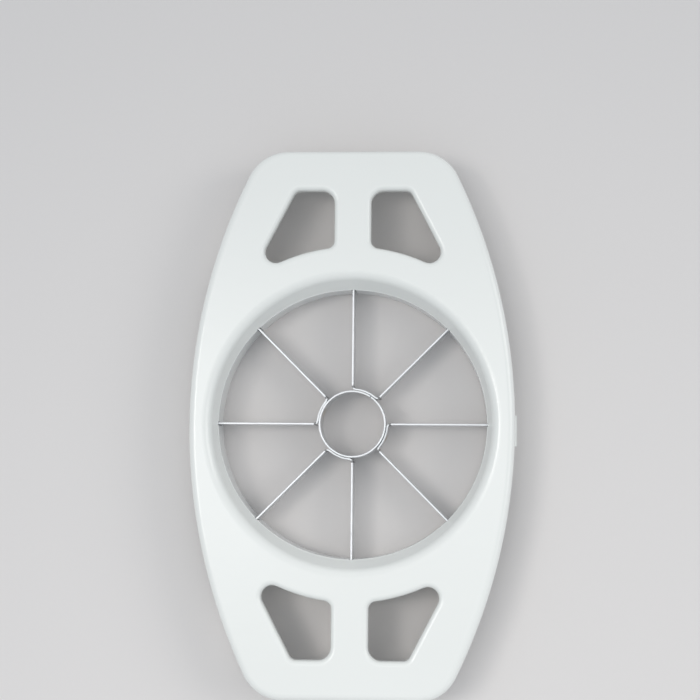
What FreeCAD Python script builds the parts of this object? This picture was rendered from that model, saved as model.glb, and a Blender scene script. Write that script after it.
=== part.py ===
"""Hand-held apple slicer and corer.

A long white handle frame with bowed sides has a round throat in its middle and two finger openings
in each handle. Eight stainless blades cross the throat and meet a corer tube at its centre. They are
four folded strips: each has two blades 45 degrees apart, joined by a web that wraps round the corer
tube and is welded to it. The blades' outer ends pass through slots in a retaining ring and are bent
over behind it, and the ring is pushed into the frame from below, under the throat's funnel.

The row frame: +Z up, towards the hand, +Y along the handles, origin on the surface that the slicer
rests on, in the middle of the throat. All lengths are in millimetres and all angles in degrees.
"""
import FreeCAD, Part
import math
import os

from FreeCAD import Vector

# Handle frame, outside
frame_length = 178.0
frame_width = 105.7
frame_height = 13.4
frame_lift = 7.0            # the frame's lower lip above the surface
side_radius = 184.8         # the bowed long sides, seen from above
corner_radius = 14.2
top_edge_round = 2.3
lip_round = 0.6

# Handle frame, walls and ribs
top_wall = 2.4
side_wall = 2.2
opening_rim = 1.8           # the lip that hangs round each finger opening
opening_rim_depth = 1.0
rib_thickness = 1.4
rib_recess = 2.0            # the ribs' lower edge above the frame's lip
rib_setback = 2.6           # from a finger opening, out of sight from above
rib_angles = (14.0, 30.0, 46.0, 90.0)
grip_rib_place = 13.0       # from the middle of the grip
ejector_mark_radius = 2.5
ejector_mark_depth = 0.2
ejector_mark_place = 55.0   # from the throat's axis

# Finger openings, two in each handle
grip_bar = 13.1             # from an opening to the end of the frame
web_width = 12.0            # between the two openings of a handle
shoulder = 8.5              # from the throat's hub to an opening
opening_end_width = 12.7    # an opening's short side, along the grip
opening_spread = 36.06      # the slanted side's lower corner, in degrees from the handle's middle line
opening_corner = 4.2        # between the web and the grip
opening_far_corner = 3.6    # at the slanted side's lower end
opening_small_corner = 2.6
opening_edge_round = 1.6

# Moulding gate, cut off at the waist
gate_length = 10.0
gate_height = 3.0
gate_stub = 0.6
gate_offset = -2.0

# Throat, funnel and retaining ring
throat_radius = 44.0
funnel_step = 0.1           # the ring's top edge that shows inside the funnel
funnel_end_angle = 26.0     # the funnel's slope towards the handles, from the vertical
funnel_side_angle = 15.0    # its slope at the waist, where the frame is narrow
funnel_round = 3.3
ring_wall = 2.0
ring_headroom = 0.2         # the ring's top edge above the blades
ring_flange = 2.0
ring_edge_chamfer = 0.5
pocket_gap = 0.9            # between the ring and the hub, for the blades' tabs
hub_wall = 2.2
slot_clearance = 0.3        # in a slot's width; a blade's neck sits on its floor
slot_flare = 0.3
key_angles = (22.5, 112.5, 202.5, 292.5)
key_width = 4.0
key_height = 1.5
key_clearance = 0.15

# Blades
blade_thickness = 0.6
blade_width = 12.5
blade_step_angle = 45.0
edge_gap = 0.4              # the cutting edges above the surface
bevel_height = 1.6
cutting_edge = 0.08
spine_chamfer = 0.06
fold_radius = 1.2           # of the strip's middle, at the corer tube
tab_fold_radius = 0.7
tab_length = 4.5            # it lies against the ring's outer face
shoulder_clearance = 0.1    # from a blade's full width to the ring
neck_lift = 0.2             # the blades' necks above the ring's flange

# Corer tube
corer_outer_radius = 11.0
corer_wall = 0.6
corer_rise = 1.1            # its top edge above the blades
corer_seam = 0.2
seam_angle = 56.25          # behind the web of the first blade pair, clear of its welds
weld_gap = 0.12             # between the tube and a strip's web, bridged by the welds
weld_radius = 1.1
weld_dimple = 0.1
weld_share = (0.33, 0.7)    # the welds' heights, as shares of the blades' width

# Levels and radii that follow
frame_top = frame_lift + frame_height
blade_bottom = edge_gap
blade_top = blade_bottom + blade_width
ring_top = blade_top + ring_headroom
ring_outer_radius = throat_radius + ring_wall
pocket_radius = ring_outer_radius + pocket_gap
hub_radius = pocket_radius + hub_wall
corer_top = blade_top + corer_rise
web_radius = corer_outer_radius + weld_gap + blade_thickness / 2
tab_radius = ring_outer_radius + blade_thickness / 2
neck_bottom = ring_flange + neck_lift

origin = Vector(0, 0, 0)
up = Vector(0, 0, 1)
quadrants = [(1, 1), (-1, 1), (-1, -1), (1, -1)]
overrun = 1.0               # how far a cutting tool reaches past what it cuts
tolerance = 1e-4


def polar(radius, angle, z=0.0):
    """The point at this radius and angle round the throat's axis."""
    return Vector(radius * math.cos(math.radians(angle)), radius * math.sin(math.radians(angle)), z)


def polygon_face(points):
    """A flat face with straight sides."""
    return Part.Face(Part.makePolygon(points + points[:1]))


def prism(face, bottom, top):
    """A face that lies at z = 0, made into a block between two levels."""
    block = face.extrude(up * (top - bottom))
    block.translate(up * bottom)
    return block


def disc(radius, bottom, top):
    """A round block on the throat's axis."""
    return Part.makeCylinder(radius, top - bottom, up * bottom)


def annulus(inner, outer, bottom, top):
    """A round block with a round hole, on the throat's axis."""
    return disc(outer, bottom, top).cut(disc(inner, bottom - overrun, top + overrun))


def upright_edges(shape):
    """The straight edges of a shape that stand along Z."""
    def stands(edge):
        box = edge.BoundBox
        return box.XLength < tolerance and box.YLength < tolerance
    return [edge for edge in shape.Edges if stands(edge)]


def upright_edge_at(shape, point):
    """The upright edge of a shape above or below a point."""
    def distance(edge):
        foot = edge.Vertexes[0].Point
        return math.hypot(foot.x - point.x, foot.y - point.y)
    return min(upright_edges(shape), key=distance)


def level_face(shape, z):
    """The largest flat face of a shape at one level."""
    def lies(face):
        return face.BoundBox.ZLength < tolerance and abs(face.BoundBox.ZMin - z) < tolerance
    return max([face for face in shape.Faces if lies(face)], key=lambda face: face.Area)


# Handle frame

def outline(inset):
    """The frame's outline, moved inwards: two bowed sides and two straight ends, with sharp corners."""
    radius = side_radius - inset
    half_width = frame_width / 2 - inset
    half_length = frame_length / 2 - inset
    end_half = half_width - radius + math.sqrt(radius ** 2 - half_length ** 2)
    ends = [Vector(x * end_half, y * half_length, 0) for x, y in quadrants]
    right = Part.Arc(ends[3], Vector(half_width, 0, 0), ends[0])
    left = Part.Arc(ends[1], Vector(-half_width, 0, 0), ends[2])
    far_end = Part.LineSegment(right.EndPoint, left.StartPoint)
    near_end = Part.LineSegment(left.EndPoint, right.StartPoint)
    return Part.Face(Part.Wire([c.toShape() for c in (right, far_end, left, near_end)]))


def outline_block(inset, bottom, top):
    """A block with the frame's outline and its rounded corners."""
    block = prism(outline(inset), bottom, top)
    return block.makeFillet(corner_radius - inset, upright_edges(block))


def opening_corners():
    """A finger opening's sharp corners: two on the web, then two on its slanted side."""
    arc_radius = hub_radius + shoulder
    inner_x = web_width / 2
    outer_x = inner_x + opening_end_width
    end_y = frame_length / 2 - grip_bar
    inner_y = math.sqrt(arc_radius ** 2 - inner_x ** 2)
    upright = [Vector(x, y, 0) for x, y in ((inner_x, inner_y), (inner_x, end_y), (outer_x, end_y))]
    return upright + [polar(arc_radius, 90 - opening_spread)]


def opening_outline():
    """The outline of a finger opening with its corners rounded. One side is an arc round the hub."""
    corners = opening_corners()
    half_way = (corners[0] + corners[3]).normalize() * (hub_radius + shoulder)
    edges = [Part.LineSegment(a, b).toShape() for a, b in zip(corners, corners[1:])]
    edges.append(Part.Arc(corners[3], half_way, corners[0]).toShape())
    block = prism(Part.Face(Part.Wire(edges)), 0, frame_height)
    radii = [opening_small_corner, opening_corner, opening_small_corner, opening_far_corner]
    for corner, radius in zip(corners, radii):
        block = block.makeFillet(radius, [upright_edge_at(block, corner)])
    return level_face(block, 0)


def opening_block(outset, bottom, top, x_side, y_side):
    """A block with the outline of one finger opening, moved outwards, in one of the four quadrants."""
    face = opening_outline()
    if outset:
        face = face.makeOffset2D(outset)
    block = prism(face, bottom, top)
    if x_side < 0:
        block = block.mirror(origin, Vector(1, 0, 0))
    if y_side < 0:
        block = block.mirror(origin, Vector(0, 1, 0))
    return block


def funnel_tool():
    """What the throat's funnel takes out of the frame: round at the ring's top edge, oval at its mouth."""
    height = frame_top + overrun - ring_top
    foot_radius = throat_radius + funnel_step
    half_length = foot_radius + height * math.tan(math.radians(funnel_end_angle))
    half_width = foot_radius + height * math.tan(math.radians(funnel_side_angle))
    top = ring_top + height
    mouth = Part.Ellipse(Vector(0, half_length, top), Vector(-half_width, 0, top), up * top).toShape()
    foot = Part.makeCircle(foot_radius, up * ring_top)
    foot.rotate(origin, up, 90)
    return Part.makeLoft([Part.Wire(foot), Part.Wire(mouth)], True, True)


def radial_ribs():
    """The ribs that run out from the hub, mirrored into every quadrant."""
    bottom, height = frame_lift + rib_recess, frame_height - rib_recess
    turns = {turn % 360 for angle in rib_angles for turn in (angle, -angle, 180 - angle, 180 + angle)}
    made = []
    for turn in sorted(turns):
        rib = Part.makeBox(frame_length / 2, rib_thickness, height, Vector(0, -rib_thickness / 2, bottom))
        rib.rotate(origin, up, turn)
        made.append(rib)
    return made


def grip_rib(x_side, y_side):
    """A rib across one half of a grip bar."""
    x = x_side * grip_rib_place - rib_thickness / 2
    y = y_side * (frame_length - grip_bar) / 2 - grip_bar / 2
    start = Vector(x, y, frame_lift + rib_recess)
    return Part.makeBox(rib_thickness, grip_bar, frame_height - rib_recess, start)


def ribs():
    """The ribs under the frame's top wall, kept clear of the finger openings."""
    made = radial_ribs() + [grip_rib(*quadrant) for quadrant in quadrants]
    clear = [opening_block(rib_setback, frame_lift, frame_top, *quadrant) for quadrant in quadrants]
    return [rib.cut(clear) for rib in made]


def ejector_marks():
    """Shallow round marks that the mould's pins leave on the underside of the top wall."""
    level = frame_top - top_wall
    grip_y = frame_length / 2 - side_wall - (grip_bar - side_wall - opening_rim) / 2
    turn = (rib_angles[1] + rib_angles[2]) / 2
    places = [polar(ejector_mark_place, angle, level) for angle in (turn, -turn, 180 - turn, 180 + turn)]
    places += [Vector(x_side * grip_rib_place / 2, y_side * grip_y, level) for x_side, y_side in quadrants]
    return [Part.makeCylinder(ejector_mark_radius, ejector_mark_depth, place) for place in places]


def top_rims(slab):
    """The rims of a slab's holes in its top face: those of the finger openings, and last the throat's."""
    face = level_face(slab, frame_top)
    rims = [wire for wire in face.Wires if not wire.isSame(face.OuterWire)]
    return sorted(rims, key=lambda wire: wire.BoundBox.DiagonalLength)


def rounded_slab():
    """The frame as a slab with its throat and finger openings, the rims that show rounded."""
    slab = outline_block(0, frame_lift, frame_top)
    slab = slab.makeFillet(top_edge_round, level_face(slab, frame_top).OuterWire.Edges)
    slab = slab.makeFillet(lip_round, level_face(slab, frame_lift).OuterWire.Edges)
    slab = slab.cut(disc(pocket_radius, frame_lift - overrun, ring_top)).cut(funnel_tool())
    for quadrant in quadrants:
        slab = slab.cut(opening_block(0, frame_lift - overrun, frame_top + overrun, *quadrant))
    slab = slab.makeFillet(funnel_round, top_rims(slab)[-1].Edges)
    return slab.makeFillet(opening_edge_round, [edge for rim in top_rims(slab)[:-1] for edge in rim.Edges])


def cavity():
    """The hollow under the frame's top wall, with the hub, the openings' lips and the ribs left standing."""
    bottom, top = frame_lift - overrun, frame_top - top_wall
    hollow = outline_block(side_wall, bottom, top).cut(disc(hub_radius, bottom - overrun, top + overrun))
    for quadrant in quadrants:
        hollow = hollow.cut(opening_block(opening_rim, top - opening_rim_depth, top + overrun, *quadrant))
    return hollow.cut(ribs())


def gate_mark():
    """The stub left where the moulding was cut from its runner, half-way up the right side of the waist."""
    root = frame_width / 2 - side_wall / 2
    bottom = frame_lift + (frame_height - gate_height) / 2
    corner = Vector(root, gate_offset - gate_length / 2, bottom)
    return Part.makeBox(side_wall / 2 + gate_stub, gate_length, gate_height, corner)


def key_block(angle, start, end, clearance=0.0):
    """An upright block across the hub's wall, from one radius to another, standing on the flange."""
    width = key_width + 2 * clearance
    height = key_height + clearance
    block = Part.makeBox(end - start, width, height, Vector(start, -width / 2, ring_flange))
    block.rotate(origin, up, angle)
    return block


def notch(angle):
    """What a key's notch takes out of the hub's wall."""
    return key_block(angle, pocket_radius - overrun, hub_radius + overrun, key_clearance)


def make_handle_frame():
    """The white moulded frame: handles, finger openings, hub and funnel in one piece."""
    frame = rounded_slab().cut(cavity())
    frame = frame.fuse(annulus(pocket_radius, hub_radius, ring_flange, ring_top)).fuse(gate_mark())
    for angle in key_angles:
        frame = frame.cut(notch(angle))
    return frame.cut(ejector_marks()).removeSplitter()


# Retaining ring

def blade_angles():
    """Where the blades stand, clockwise from the far handle."""
    count = round(360 / blade_step_angle)
    return [90 - step * blade_step_angle for step in range(count)]


def slot_block(angle):
    """What one blade's slot takes out of the ring's wall, flared on both sides."""
    half = (blade_thickness + slot_clearance) / 2
    inner, outer = throat_radius, ring_outer_radius
    side = [(inner - overrun, half + slot_flare + overrun), (inner + slot_flare, half),
            (outer - slot_flare, half), (outer + overrun, half + slot_flare + overrun)]
    points = [Vector(x, y, 0) for x, y in side] + [Vector(x, -y, 0) for x, y in reversed(side)]
    block = prism(polygon_face(points), neck_bottom, ring_top + overrun)
    block.rotate(origin, up, angle)
    return block


def make_retaining_ring():
    """The ring that holds the blades' outer ends, with its flange and keys."""
    corners = [(throat_radius + ring_edge_chamfer, 0), (hub_radius - ring_edge_chamfer, 0),
               (hub_radius, ring_edge_chamfer), (hub_radius, ring_flange),
               (ring_outer_radius, ring_flange), (ring_outer_radius, ring_top),
               (throat_radius, ring_top), (throat_radius, ring_edge_chamfer)]
    ring = polygon_face([Vector(x, 0, z) for x, z in corners]).revolve(origin, up, 360)
    for angle in key_angles:
        key = key_block(angle, pocket_radius, hub_radius + overrun)
        ring = ring.fuse(key.common(disc(hub_radius, 0, ring_top)))
    for angle in blade_angles():
        ring = ring.cut(slot_block(angle))
    return ring.removeSplitter()


# Blades and corer tube

def strip_section(bottom, bevelled):
    """A strip's section as (across, height) points: a chamfered spine, and a ground edge if it has one."""
    half = blade_thickness / 2
    right = [(half, blade_top - spine_chamfer), (half - spine_chamfer, blade_top)]
    if bevelled:
        right = [(cutting_edge / 2, bottom), (half, bottom + bevel_height)] + right
    else:
        right = [(half, bottom)] + right
    return right + [(-x, z) for x, z in reversed(right)]


def straight_wall(section, start_x, end_x):
    """A stretch of strip along +X."""
    face = polygon_face([Vector(start_x, across, z) for across, z in section])
    return face.extrude(Vector(end_x - start_x, 0, 0))


def curved_wall(section, centre, radius, start, sweep):
    """A stretch of strip that turns about an upright axis, from one angle through another."""
    start, sweep = (start, sweep) if sweep > 0 else (start + sweep, -sweep)
    face = polygon_face([centre + polar(radius + across, start, z) for across, z in section])
    return face.revolve(centre, up, sweep)


def blade(angle, side):
    """One blade with its inner fold, turned towards one side, and its outer tab, turned to the other."""
    edge = strip_section(blade_bottom, True)
    neck = strip_section(neck_bottom, False)
    inner_x = math.sqrt((web_radius + fold_radius) ** 2 - fold_radius ** 2)
    inner_turn = math.degrees(math.asin(fold_radius / (web_radius + fold_radius)))
    outer_x = math.sqrt((tab_radius - tab_fold_radius) ** 2 - tab_fold_radius ** 2)
    outer_turn = math.degrees(math.asin(tab_fold_radius / (tab_radius - tab_fold_radius)))
    shoulder_x = throat_radius - shoulder_clearance
    tab_turn = math.degrees(tab_length / tab_radius)
    inner_centre = Vector(inner_x, side * fold_radius, 0)
    outer_centre = Vector(outer_x, -side * tab_fold_radius, 0)
    parts = [
        curved_wall(edge, inner_centre, fold_radius, -side * 90, -side * (90 - inner_turn)),
        straight_wall(edge, inner_x, shoulder_x),
        straight_wall(neck, shoulder_x - overrun, outer_x),
        curved_wall(neck, outer_centre, tab_fold_radius, side * 90, -side * (90 + outer_turn)),
        curved_wall(neck, origin, tab_radius, -side * outer_turn, -side * tab_turn),
    ]
    made = parts[0].multiFuse(parts[1:])
    made.rotate(origin, up, angle)
    return made


def weld(angle, height):
    """One weld: a bridge from the web to the corer tube."""
    bridge = Part.makeCylinder(weld_radius, web_radius, polar(0, angle, height), polar(1, angle))
    return bridge.common(annulus(corer_outer_radius, web_radius, blade_bottom, blade_top))


def weld_mark(angle, height):
    """The shallow dent that a weld leaves on the web's outer side."""
    depth = web_radius + blade_thickness / 2 - weld_dimple
    return Part.makeCylinder(weld_radius, overrun, polar(depth, angle, height), polar(1, angle))


def make_blade_pair(first_angle):
    """One folded strip: two blades and the web between them, welded to the corer tube."""
    inner_turn = math.degrees(math.asin(fold_radius / (web_radius + fold_radius)))
    edge = strip_section(blade_bottom, True)
    second_angle = first_angle - blade_step_angle
    web = curved_wall(edge, origin, web_radius, second_angle + inner_turn, blade_step_angle - 2 * inner_turn)
    strip = web.multiFuse([blade(first_angle, -1), blade(second_angle, 1)])
    middle = (first_angle + second_angle) / 2
    heights = [blade_bottom + share * blade_width for share in weld_share]
    strip = strip.multiFuse([weld(middle, height) for height in heights])
    return strip.cut([weld_mark(middle, height) for height in heights]).removeSplitter()


def make_corer_tube():
    """The rolled tube that cuts out the core, with a ground lower edge and a butted seam."""
    outer, inner = corer_outer_radius, corer_outer_radius - corer_wall
    middle = (outer + inner) / 2
    corners = [(middle - cutting_edge / 2, blade_bottom), (middle + cutting_edge / 2, blade_bottom),
               (outer, blade_bottom + bevel_height), (outer, corer_top - spine_chamfer),
               (outer - spine_chamfer, corer_top), (inner + spine_chamfer, corer_top),
               (inner, corer_top - spine_chamfer), (inner, blade_bottom + bevel_height)]
    tube = polygon_face([Vector(x, 0, z) for x, z in corners]).revolve(origin, up, 360)
    seam = Part.makeBox(corer_wall + 2 * overrun, corer_seam, corer_top + overrun,
                        Vector(inner - overrun, -corer_seam / 2, 0))
    seam.rotate(origin, up, seam_angle)
    return tube.cut(seam)


def make_parts():
    """Every sub-part by its node's name."""
    parts = {
        "handle_frame": make_handle_frame(),
        "blade_retaining_ring": make_retaining_ring(),
        "corer_tube": make_corer_tube(),
    }
    for number, angle in enumerate(blade_angles()[::2], start=1):
        parts[f"blade_pair_{number}"] = make_blade_pair(angle)
    return parts


os.makedirs("parts", exist_ok=True)
for name, shape in make_parts().items():
    shape.exportStep(f"parts/{name}.step")
    print(name, "valid", shape.isValid(), "solids", len(shape.Solids), "volume", round(shape.Volume, 1))
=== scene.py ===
import math

import bpy
from mathutils import Matrix, Vector

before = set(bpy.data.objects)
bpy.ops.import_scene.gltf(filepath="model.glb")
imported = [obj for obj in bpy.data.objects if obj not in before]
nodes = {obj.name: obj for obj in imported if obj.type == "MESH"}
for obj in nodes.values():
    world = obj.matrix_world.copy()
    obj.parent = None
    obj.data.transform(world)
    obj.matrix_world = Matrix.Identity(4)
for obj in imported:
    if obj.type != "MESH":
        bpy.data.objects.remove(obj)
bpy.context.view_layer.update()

# Camera, as fitted to the photograph
camera_place = (0.0354, -0.0179, 0.5733)
camera_target = (-0.00048, 0.02371, 0.0204)
camera_upward = (0.0, 1.0, 0.0)
camera_roll = 0.00865
camera_lens = 88.31
camera_sensor = 36.0

# Light. Each lamp has a name, place, aim, size in metres, spread in degrees and power in watts.
lamps = [
    ("left_over", (-0.22, 0.03, 1.20), (0.0, 0.0, 0.0), 0.27, 180.0, 0.75),
    ("right_over", (0.10, 0.04, 1.20), (0.0, 0.0, 0.0), 0.25, 180.0, 0.45),
    ("left_high", (-0.45, 0.0, 0.95), (0.05, -0.22, 0.0), 0.30, 60.0, 0.325),
    ("right_high", (0.85, 0.05, 0.65), (0.10, -0.22, 0.0), 0.60, 60.0, 0.42),
    ("back_high", (0.0, 0.85, 0.65), (0.0, 0.0, 0.0), 0.60, 180.0, 0.5),
]
lamp_tone = (1.0, 0.98, 0.95)
world_tone = (0.90, 0.965, 1.03, 1.0)
world_strength = 0.64

# Floor
floor_size = 30.0
floor_tone = (0.71, 0.683, 0.67, 1.0)
# The far floor's paler colour is painted light
floor_far_painted_light_tone = (0.97, 0.965, 0.955, 1.0)
floor_painted_light_fade = (0.22, 0.90)   # distances between which the floor is painted paler: painted light standing in for the lamps' light that falls off with distance
floor_tooth_scale = 700.0
floor_tone_change = 0.015
floor_roughness = 0.9
floor_gloss = 0.1

# Plastic
frame_tone = (0.825, 0.832, 0.804)
ring_tone = (0.79, 0.80, 0.79)
plastic_tone_change = 0.03
plastic_roughness = (0.20, 0.24)
plastic_ior = 1.5
cloud_scale = 22.0
peel_scale = 320.0
peel_detail = 1.0
peel_strength = 0.12
peel_depth = 0.0002
rubbing_scale = 1400.0
rubbing_detail = 3.0

# Steel: tones and gloss, then lengths in metres
steel_tone = (0.83, 0.84, 0.85)
tube_tone = (0.80, 0.81, 0.82)
straw_tone = (0.64, 0.57, 0.46, 1.0)
# Painted shade at the folds: the base colour there falls to this share of its brightness
fold_painted_shade = 0.30
steel_tone_change = 0.14
steel_roughness = (0.22, 0.34)
edge_roughness = 0.49
stain_scale = 240.0
streak_density = 1900.0     # lines across each metre
streak_breaks = 26.0        # and how often they end along it
streak_detail = 4.0
streak_strength = 0.25
streak_depth = 0.00003
edge_rounding = 0.00028
edge_samples = 6
bevel_top = 0.0020
bevel_blend = 0.0001
fold_reach = 0.01225        # the folds' distance from the corer's axis
fold_half = 0.0005
weld_turn = 67.5            # the welds' direction in degrees, and the same every quarter turn
weld_middle = 0.00684       # half-way between the upper and lower weld
weld_offset = 0.00231
weld_reach = 0.0126
weld_heat = (0.0008, 0.0024)


# Node helpers

def new_material(name):
    """A material with its node tree and its Principled shader."""
    material = bpy.data.materials.new(name)
    material.use_nodes = True
    tree = material.node_tree
    return material, tree, tree.nodes["Principled BSDF"]


def add(tree, kind, values=None, **settings):
    """A node with its settings, and each input set to a value or joined to a socket."""
    node = tree.nodes.new("ShaderNode" + kind)
    for setting, value in settings.items():
        setattr(node, setting, value)
    for key, value in (values or {}).items():
        if isinstance(value, bpy.types.NodeSocket):
            tree.links.new(value, node.inputs[key])
        else:
            node.inputs[key].default_value = value
    return node


def math_node(tree, operation, first, second=0.0):
    """The result of one sum on two numbers or sockets."""
    return add(tree, "Math", {0: first, 1: second}, operation=operation).outputs[0]


def span(tree, value, low, high):
    """A 0 to 1 value stretched to run from low to high."""
    values = {"Value": value, "To Min": low, "To Max": high}
    return add(tree, "MapRange", values).outputs[0]


def fade(tree, value, start, end):
    """1 where a value is below the start, falling smoothly to 0 at the end."""
    values = {"Value": value, "From Min": start, "From Max": end, "To Min": 1.0, "To Max": 0.0}
    return add(tree, "MapRange", values, interpolation_type="SMOOTHSTEP").outputs[0]


def apart(tree, value, place):
    """How far a number is from a place."""
    return math_node(tree, "ABSOLUTE", math_node(tree, "SUBTRACT", value, place))


def length(tree, x, y):
    """The distance of a point from the axis, by its two coordinates."""
    flat = add(tree, "CombineXYZ", {0: x, 1: y}).outputs[0]
    return add(tree, "VectorMath", {0: flat}, operation="LENGTH").outputs["Value"]


def noise(tree, vector, scale=1.0, detail=2.0):
    """A soft noise from 0 to 1 over a vector."""
    values = {"Vector": vector, "Scale": scale, "Detail": detail}
    return add(tree, "TexNoise", values).outputs["Fac"]


def bump(tree, height, strength, distance, normal=None):
    """A normal tilted by a height, in metres."""
    values = {"Height": height, "Strength": strength, "Distance": distance}
    if normal is not None:
        values["Normal"] = normal
    return add(tree, "Bump", values).outputs[0]


def mix(tree, share, first, second):
    """A number between two others, by a 0 to 1 share."""
    return add(tree, "Mix", {"Factor": share, "A": first, "B": second}).outputs["Result"]


def blend(tree, share, first, second):
    """A colour between two others, by a 0 to 1 share. A Mix node's colour inputs are numbers 6 and 7."""
    return add(tree, "Mix", {0: share, 6: first, 7: second}, data_type="RGBA").outputs[2]


def facing_up(tree):
    """1 on faces that look straight up, falling to 0 on upright ones."""
    normal = add(tree, "NewGeometry").outputs["True Normal"]
    height = add(tree, "SeparateXYZ", {0: normal}).outputs[2]
    return math_node(tree, "MAXIMUM", height)


def tint(tree, tone, amount, change):
    """A colour whose brightness follows a 0 to 1 value."""
    shade = span(tree, amount, 1.0 - change, 1.0)
    values = {"Vector": tone, "Scale": shade}
    return add(tree, "VectorMath", values, operation="SCALE").outputs[0]


# Materials

def moulded_plastic(name, tone):
    """White glossy plastic: slightly uneven tone, orange peel, and fine rubbing marks in its gloss."""
    material, tree, shader = new_material(name)
    place = add(tree, "TexCoord").outputs["Object"]
    cloud = noise(tree, place, cloud_scale)
    peel = noise(tree, place, peel_scale, peel_detail)
    rubbing = noise(tree, place, rubbing_scale, rubbing_detail)
    tree.links.new(tint(tree, tone, cloud, plastic_tone_change), shader.inputs["Base Color"])
    tree.links.new(span(tree, rubbing, *plastic_roughness), shader.inputs["Roughness"])
    tree.links.new(bump(tree, peel, peel_strength, peel_depth), shader.inputs["Normal"])
    shader.inputs["IOR"].default_value = plastic_ior
    return material


def streaks(tree, along, across):
    """Fine lines that run along one length and are dense across the other."""
    long_way = math_node(tree, "MULTIPLY", along, streak_breaks)
    short_way = math_node(tree, "MULTIPLY", across, streak_density)
    lines = add(tree, "CombineXYZ", {0: long_way, 2: short_way}).outputs[0]
    return noise(tree, lines, detail=streak_detail)


def polishing(tree, height, reach):
    """Lines along the strip, and across it on the ground bevel."""
    ground = fade(tree, height, bevel_top - bevel_blend, bevel_top + bevel_blend)
    return mix(tree, ground, streaks(tree, reach, height), streaks(tree, height, reach))


def weld_spots(tree, place, height, reach):
    """1 at each spot weld, falling to 0 where its heat no longer shows."""
    values = {"Vector": place, "Angle": math.radians(-weld_turn)}
    turned = add(tree, "VectorRotate", values, rotation_type="Z_AXIS").outputs[0]
    x, y = add(tree, "SeparateXYZ", {0: turned}).outputs[:2]
    aside = math_node(tree, "MINIMUM", apart(tree, x, 0.0), apart(tree, y, 0.0))
    above = apart(tree, apart(tree, height, weld_middle), weld_offset)
    distance = length(tree, aside, above)
    near_tube = fade(tree, reach, weld_reach, weld_reach + fold_half)
    return math_node(tree, "MULTIPLY", fade(tree, distance, *weld_heat), near_tube)


def steel_colour(tree, tone, place, height, reach):
    """A slightly stained tone, with painted shade at the folds where their bend breaks the highlight, and
    straw-coloured round the welds.
    """
    stained = tint(tree, tone, noise(tree, place, stain_scale), steel_tone_change)
    # Painted shade: darkens the colour at the folds, standing in for the highlight that their bend breaks
    fold_shade_share = fade(tree, apart(tree, reach, fold_reach), fold_half / 2, fold_half)
    away_from_folds = math_node(tree, "SUBTRACT", 1.0, fold_shade_share)
    fold_shaded = tint(tree, stained, away_from_folds, 1.0 - fold_painted_shade)
    return blend(tree, weld_spots(tree, place, height, reach), fold_shaded, straw_tone)


def stainless(name, tone):
    """Rolled and spot-welded stainless strip, with softened edges that catch the light."""
    material, tree, shader = new_material(name)
    place = add(tree, "TexCoord").outputs["Object"]
    x, y, height = add(tree, "SeparateXYZ", {0: place}).outputs
    reach = length(tree, x, y)
    lines = polishing(tree, height, reach)
    polish = span(tree, lines, *steel_roughness)
    rounded = add(tree, "Bevel", {"Radius": edge_rounding}, samples=edge_samples).outputs[0]
    tree.links.new(steel_colour(tree, tone, place, height, reach), shader.inputs["Base Color"])
    tree.links.new(mix(tree, facing_up(tree), polish, edge_roughness), shader.inputs["Roughness"])
    tree.links.new(bump(tree, lines, streak_strength, streak_depth, rounded), shader.inputs["Normal"])
    shader.inputs["Metallic"].default_value = 1.0
    return material


def plain_floor(name):
    """A pale matt floor with a faint tooth, painted paler far from the slicer as painted light where the
    lamps fall off.
    """
    material, tree, shader = new_material(name)
    place = add(tree, "TexCoord").outputs["Object"]
    distance = add(tree, "VectorMath", {0: place}, operation="LENGTH").outputs["Value"]
    # Painted light: the floor's colour grows paler with distance from the slicer
    tone = blend(tree, fade(tree, distance, *floor_painted_light_fade), floor_far_painted_light_tone, floor_tone)
    tooth = noise(tree, place, floor_tooth_scale)
    tree.links.new(tint(tree, tone, tooth, floor_tone_change), shader.inputs["Base Color"])
    shader.inputs["Roughness"].default_value = floor_roughness
    shader.inputs["Specular IOR Level"].default_value = floor_gloss
    return material


def give(material, *names):
    """Puts one material on CAD nodes."""
    for name in names:
        mesh = nodes[name].data
        mesh.materials.clear()
        mesh.materials.append(material)


# Stage, light and camera

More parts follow.
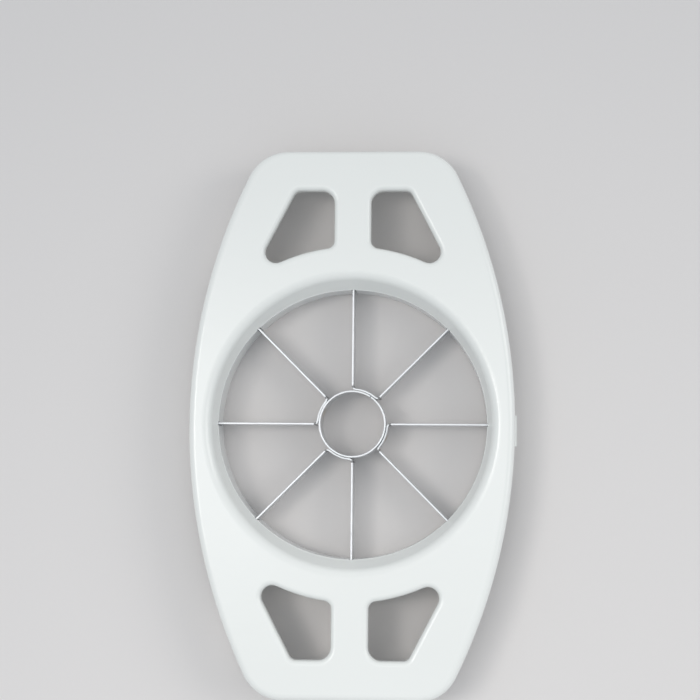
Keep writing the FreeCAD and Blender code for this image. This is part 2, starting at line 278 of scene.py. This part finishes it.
def lay_floor():
    """The floor that the slicer lies on."""
    half = floor_size / 2
    corners = [(-half, -half, 0.0), (half, -half, 0.0), (half, half, 0.0), (-half, half, 0.0)]
    mesh = bpy.data.meshes.new("floor")
    mesh.from_pydata(corners, [], [(0, 1, 2, 3)])
    mesh.materials.append(plain_floor("floor_matt"))
    floor = bpy.data.objects.new("floor", mesh)
    bpy.context.scene.collection.objects.link(floor)


def hang_lamp(name, place, aim, size, spread, power):
    """A soft square lamp turned towards a point."""
    lamp = bpy.data.lights.new(name, "AREA")
    lamp.size = size
    lamp.energy = power
    lamp.spread = math.radians(spread)
    lamp.color = lamp_tone
    holder = bpy.data.objects.new(name, lamp)
    towards = Vector(aim) - Vector(place)
    holder.matrix_world = Matrix.Translation(place) @ towards.to_track_quat("-Z", "Y").to_matrix().to_4x4()
    bpy.context.scene.collection.objects.link(holder)


def light_world():
    """Even daylight all round."""
    world = bpy.data.worlds.new("daylight")
    world.use_nodes = True
    background = world.node_tree.nodes["Background"]
    background.inputs["Color"].default_value = world_tone
    background.inputs["Strength"].default_value = world_strength
    bpy.context.scene.world = world


def place_camera():
    """The camera over the throat, looking almost straight down."""
    place, target = Vector(camera_place), Vector(camera_target)
    back = (place - target).normalized()
    level = Vector(camera_upward).cross(back).normalized()
    upright = back.cross(level)
    right = math.cos(camera_roll) * level + math.sin(camera_roll) * upright
    top = math.cos(camera_roll) * upright - math.sin(camera_roll) * level
    lens = bpy.data.cameras.new("camera")
    lens.lens = camera_lens
    lens.sensor_width = camera_sensor
    camera = bpy.data.objects.new("camera", lens)
    turn = Matrix((right, top, back)).transposed().to_4x4()
    camera.matrix_world = Matrix.Translation(place) @ turn
    bpy.context.scene.collection.objects.link(camera)
    bpy.context.scene.camera = camera


place_camera()
light_world()
for lamp in lamps:
    hang_lamp(*lamp)
lay_floor()
give(moulded_plastic("frame_white", frame_tone), "handle_frame")
give(moulded_plastic("ring_white", ring_tone), "blade_retaining_ring")
give(stainless("tube_stainless", tube_tone), "corer_tube")
give(stainless("blade_stainless", steel_tone), *[name for name in nodes if name.startswith("blade_pair")])
bpy.context.scene.view_settings.view_transform = "Standard"
